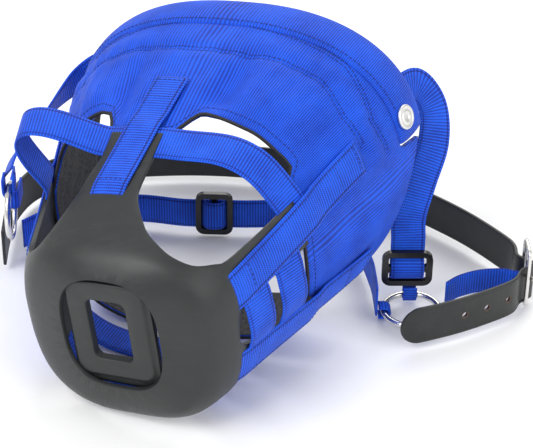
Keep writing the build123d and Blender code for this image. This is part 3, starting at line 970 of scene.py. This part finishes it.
RING_RIGHT = Vector((125, -64.5, 6.0))
RING_LEFT = Vector((-172, 8, 46))
for name, wire, out, down, length, roomy, side, width in (
    ("ring_loop_right", RING_RIGHT + Vector((0, RING_R, 0)), (0, -1, 0), (0, 0, -1), 7.5, 0.4,
     (1, 0, 0), 10),
    ("ring_loop_throat", RING_RIGHT + Vector((-RING_R, 0, 0)), (0, 0, 1), (1, 0, 0), 4, 0.4,
     (0, 1, 0), 10),
    ("ring_loop_left", RING_LEFT + Vector((0, 0, RING_R)), (1, 0, 0), (0, 0, -1), 9, 2.2,
     (0, 1, 0), 14),
):
    path = loop_path(wire, out, down, length, roomy)
    strap(name + "_web", [floor_mm(p) for p in path], [Vector(side)] * len(path), width, WEB_T,
          node=(name,))


# ---------------------------------------------------------------- slides and their webbing
def in_plane(origin, x_dir, z_dir):
    """A function from a slide's own millimetres to the frame in metres."""
    x, z = Vector(x_dir).normalized(), Vector(z_dir).normalized()
    y = z.cross(x)

    def out(p):
        return floor_mm(Vector(origin) + x * p[0] + y * p[1] + z * p[2])

    return out, x


THROAT_RUN = Vector((-1, 0.05, 0)).normalized()
BIGHT = [(0, 9.0, -1.4), (0, 8.0, 0.2), (0, 6.2, 3.0), (0, 3.2, 4.4), (0, 0, 4.8), (0, -3.2, 4.4),
         (0, -6.2, 3.0), (0, -8.0, 0.2), (0, -9.0, -1.4)]
for name, node, body, origin, x_dir, z_dir in (
    ("slide_bight_right_web", "slide_bight_right", "slide_right", (122, -44.9, 29.5), (1, 0, 0),
     (0, -1, 0)),
    ("slide_bight_throat_web", "slide_bight_throat", "slide_throat", (-20, 46, 19.2), (0, 0, 1),
     THROAT_RUN.cross(Vector((0, 0, 1))) * -1),
):
    out, x = in_plane(origin, x_dir, z_dir)
    line = [out(p) for p in through(BIGHT, 4)]
    strap(name, line, [x] * len(line), WEB_W - 1, WEB_T, rides=body, node=(node,))


# ---------------------------------------------------------------- throat strap, chape and leather
def plan_strap(name, points, low, high, node):
    """Webbing on its edge: its line in plan, between two heights. All in millimetres."""
    mid = (low + high) / 2
    line = [floor_mm((p.x, p.y, mid)) for p in through(points, 8)]
    strap(name, line, [Vector((0, 0, 1))] * len(line), high - low, WEB_T, node=(node,))


THROAT = [(98.8, -70), (98.4, -52), (97, -32), (90, 2), (72, 34), (46, 48), (4, 48.2), (-20, 49.4),
          (-44, 50.6), (-80, 57), (-118, 52), (-150, 34), (-166, 20)]
plan_strap("throat_strap_web", THROAT, 4.5, 29.5, "throat_strap")

BAR_R, BAR_GAP = 1.6, 10.6
BUCKLE_AT = Vector((209, -44, 25.4))
WAVE = BAR_R + LEATHER_T / 2 + 2.5
CROWN_LOW = 4.2
bx, by = BUCKLE_AT.x, BUCKLE_AT.y
CROWN = [(-178, -4), (-178.5, 26), (-176, 60), (-160, 94), (-120, 118), (-66, 127), (-8, 126),
         (52, 113), (100, 90), (140, 58), (172, 26), (196, -6), (203.2, -20),
         (bx - WAVE, by + BAR_GAP), (bx, by + BAR_GAP / 2), (bx + WAVE, by),
         (bx, by - BAR_GAP / 2), (bx - WAVE, by - BAR_GAP), (198, -65), (184, -75), (158, -89),
         (134, -99), (113, -106)]
HOLES = [50.0, 69.0, 88.0]     # millimetres back from the tip
HOLE_R, TIP_R = 2.3, 15.0
crown_line = through(CROWN, 8)
crown_lengths = [0.0]
for a, b in zip(crown_line, crown_line[1:]):
    crown_lengths.append(crown_lengths[-1] + (b - a).length)
crown_total = crown_lengths[-1]


def crown_at(x):
    """Plan point and direction of the leather strap at a distance along it."""
    i = next((k for k in range(len(crown_lengths) - 1) if crown_lengths[k + 1] >= x),
             len(crown_lengths) - 2)
    t = (x - crown_lengths[i]) / max(crown_lengths[i + 1] - crown_lengths[i], 1e-9)
    a, b = crown_line[i], crown_line[i + 1]
    return a.lerp(b, t), (b - a).normalized()


def make_crown():
    """The leather strap: a sheet cut flat with its holes and tip, then stood along its line."""
    total, half = crown_total, LEATHER_W / 2
    tip = [(total - TIP_R + TIP_R * cos(a), TIP_R * sin(a))
           for a in [-pi / 2 + pi * k / 18 for k in range(19)]]
    steps = int((total - TIP_R) / 2.5)
    edge = [(total - TIP_R) * k / steps for k in range(steps)]
    outline = [(x, -half) for x in edge] + tip + [(x, half) for x in reversed(edge)]
    holes = []
    turns = [2 * pi * k / 20 for k in range(20)]
    for far in HOLES:
        holes.append([(total - far + HOLE_R * cos(a), HOLE_R * sin(a)) for a in turns])
    flat, edges = [], []
    for loop in [outline] + holes:
        base = len(flat)
        flat += [Vector(p) for p in loop]
        edges += [(base + k, base + (k + 1) % len(loop)) for k in range(len(loop))]
    for x in edge[1:]:
        for y in (-13.2, -9, -4.5, 0, 4.5, 9, 13.2):
            if all((x - total + far) ** 2 + y * y > (HOLE_R + 1.2) ** 2 for far in HOLES):
                flat.append(Vector((x, y)))
    verts, _, faces, *_ = delaunay_2d_cdt(flat, edges, [], 0, 1e-5)
    kept = []
    for face in faces:
        m = sum((verts[k] for k in face), Vector((0, 0))) / len(face)
        if inside(outline, m.x, m.y) and not any(inside(h, m.x, m.y) for h in holes):
            kept.append(tuple(face))
    placed, uvs = [], []
    for v in verts:
        p, _ = crown_at(v.x)
        placed.append(floor_mm((p.x, p.y, CROWN_LOW + half + v.y)))
        uvs.append((v.y, v.x))
    obj = piece("crown_leather", placed, kept, ["leather"], uvs, "basket",
                ("crown_strap",))
    thicken(obj, LEATHER_T * MM, 0.0, 0.0006)


make_crown()

# a hole's worn edge, as (radius, height through the leather)
HOLE_EDGE = [(2.32, -1.25), (2.8, -1.32), (2.8, -1.2), (2.45, -1.1), (2.45, 1.1), (2.8, 1.2),
             (2.8, 1.32), (2.32, 1.25)]
for k, far in enumerate(HOLES):
    at, along = crown_at(crown_total - far)
    centre = floor_mm((at.x, at.y, CROWN_LOW + LEATHER_W / 2))
    rings = []
    x, y = Vector((along.x, along.y, 0)), Vector((0, 0, 1))
    z = Vector((-along.y, along.x, 0))
    for q in range(24):
        a = 2 * pi * q / 24
        rings.append([centre + (x * cos(a) + y * sin(a)) * (r * MM) + z * (h * MM)
                      for r, h in HOLE_EDGE])
    verts, faces = sweep(rings + [rings[0]], False)
    piece(f"hole_edge_{k + 1}", verts, faces, ["tan"], None, "basket")

crease = []
for height in (-12.6, 12.6):
    for offset in (-1.28, 1.28):
        run = []
        for q in range(0, int(crown_total - 16), 4):
            at, along = crown_at(q)
            normal = Vector((-along.y, along.x, 0)) * (1 if offset > 0 else -1)
            p = floor_mm((at.x, at.y, CROWN_LOW + LEATHER_W / 2 + height)) + normal * (1.12 * MM)
            run.append((p, normal))
        crease.append(run)
stitches("crown_edge_stitching", crease, "binding", pitch=4.2, long=3.0,
         radius=0.26)

CHAPE = [(149.8, -58), (160, -49), (176, -42), (192, -40.5), (200, -43), (204.8, -44)]
plan_strap("chape_web", CHAPE, CROWN_LOW + 2, CROWN_LOW + 22, "chape")
CROWN_LOOP = [(-175.6, 64, 44), (-175.6, 50, 44), (-175.9, 30, 45), (-175.2, 24.0, 46),
              (-172, 22.0, 46), (-168.8, 24.0, 46), (-168.1, 30, 46), (-168.1, 44, 46)]
loop_line = [floor_mm(p) for p in through(CROWN_LOOP, 8)]
strap("crown_loop_web", loop_line, [Vector((0, 0, 1))] * len(loop_line), 15.0, 1.8,
      node=("crown_loop",))


# ---------------------------------------------------------------- buckle
def buckle_point(y, z):
    """A point in the buckle's own plane to the frame in metres."""
    return floor_mm(BUCKLE_AT + Vector((0, y, z)))


RIM_HALF, RIM_CORNER, BAR_HALF = 23.0, 4.5, 22.6
rim = []
for sy, sz, a0 in ((1, 1, 0), (-1, 1, 90), (-1, -1, 180), (1, -1, 270)):
    for k in range(7):
        a = radians(a0 + 15 * k)
        rim.append(buckle_point(sy * (BAR_GAP - RIM_CORNER) + RIM_CORNER * cos(a),
                                sz * (RIM_HALF - RIM_CORNER) + RIM_CORNER * sin(a)))
tube("buckle_rim", rim, BAR_R, "nickel", "buckle", ("buckle_frame",), True)
tube("buckle_bar", [buckle_point(0, -BAR_HALF + 2 * BAR_HALF * k / 8) for k in range(9)], 1.5,
     "nickel", "buckle")

# ---------------------------------------------------------------- CAD nodes that stay
KEPT = {"ring_right": "nickel", "ring_left": "nickel", "slide_right": "lacquer",
        "slide_throat": "lacquer", "buckle_tongue": "nickel"}
for name, look in KEPT.items():
    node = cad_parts[name]
    node.data.materials.clear()
    node.data.materials.append(LOOKS[look])
for name in ("slide_right", "slide_throat"):
    round_off(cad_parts[name], 0.0007)

# ---------------------------------------------------------------- room, light and camera
low, high = cad_box
middle = (Vector(low) + Vector(high)) / 2


def pale_floor():
    """A pale flat floor, large enough for every view."""
    m = Nodes("floor_white", (0.93, 0.93, 0.93), 0.9)
    grain = m.noise(30.0)
    m.put(m.ramp(grain, [(0.3, (0.92, 0.92, 0.92)), (0.7, (0.94, 0.94, 0.94))]), "Base Color")
    size = 8.0
    data = bpy.data.meshes.new("floor")
    data.from_pydata([(-size, -size, 0), (size, -size, 0), (size, size, 0), (-size, size, 0)], [],
                     [(0, 1, 2, 3)])
    data.materials.append(m.material)
    obj = bpy.data.objects.new("floor", data)
    bpy.context.scene.collection.objects.link(obj)
    obj.location = (0, 0, low[2] - 0.0004)


def area_light(name, at, size, power):
    light = bpy.data.lights.new(name, "AREA")
    light.shape = "SQUARE"
    light.size = size
    light.energy = power
    obj = bpy.data.objects.new(name, light)
    obj.location = at
    obj.rotation_euler = (middle - Vector(at)).to_track_quat("-Z", "Y").to_euler()
    bpy.context.scene.collection.objects.link(obj)


pale_floor()
area_light("key", (-1.1, -1.0, 1.7), 1.2, 26)
area_light("fill", (1.5, -1.2, 1.1), 1.4, 12)
area_light("back", (0.3, 1.6, 1.6), 1.4, 18)
world = bpy.data.worlds.new("studio")
bpy.context.scene.world = world
world.use_nodes = True
world.node_tree.nodes["Background"].inputs["Color"].default_value = (1, 1, 1, 1)
world.node_tree.nodes["Background"].inputs["Strength"].default_value = 0.75
bpy.context.scene.view_settings.view_transform = "Standard"

camera_data = bpy.data.cameras.new("camera")
camera = bpy.data.objects.new("camera", camera_data)
bpy.context.scene.collection.objects.link(camera)
bpy.context.scene.camera = camera
camera_data.lens = 118.2
camera_data.sensor_width = 36.0
camera_data.shift_x = 0.0497
camera_data.shift_y = -0.045
LOOK_AT, DISTANCE, ELEVATION = Vector((-0.0179, 0.0365, 0.0614)), 1.3, radians(32)
camera.location = LOOK_AT + Vector((0, -cos(ELEVATION), sin(ELEVATION))) * DISTANCE
camera.rotation_euler = (pi / 2 - ELEVATION, 0, 0)
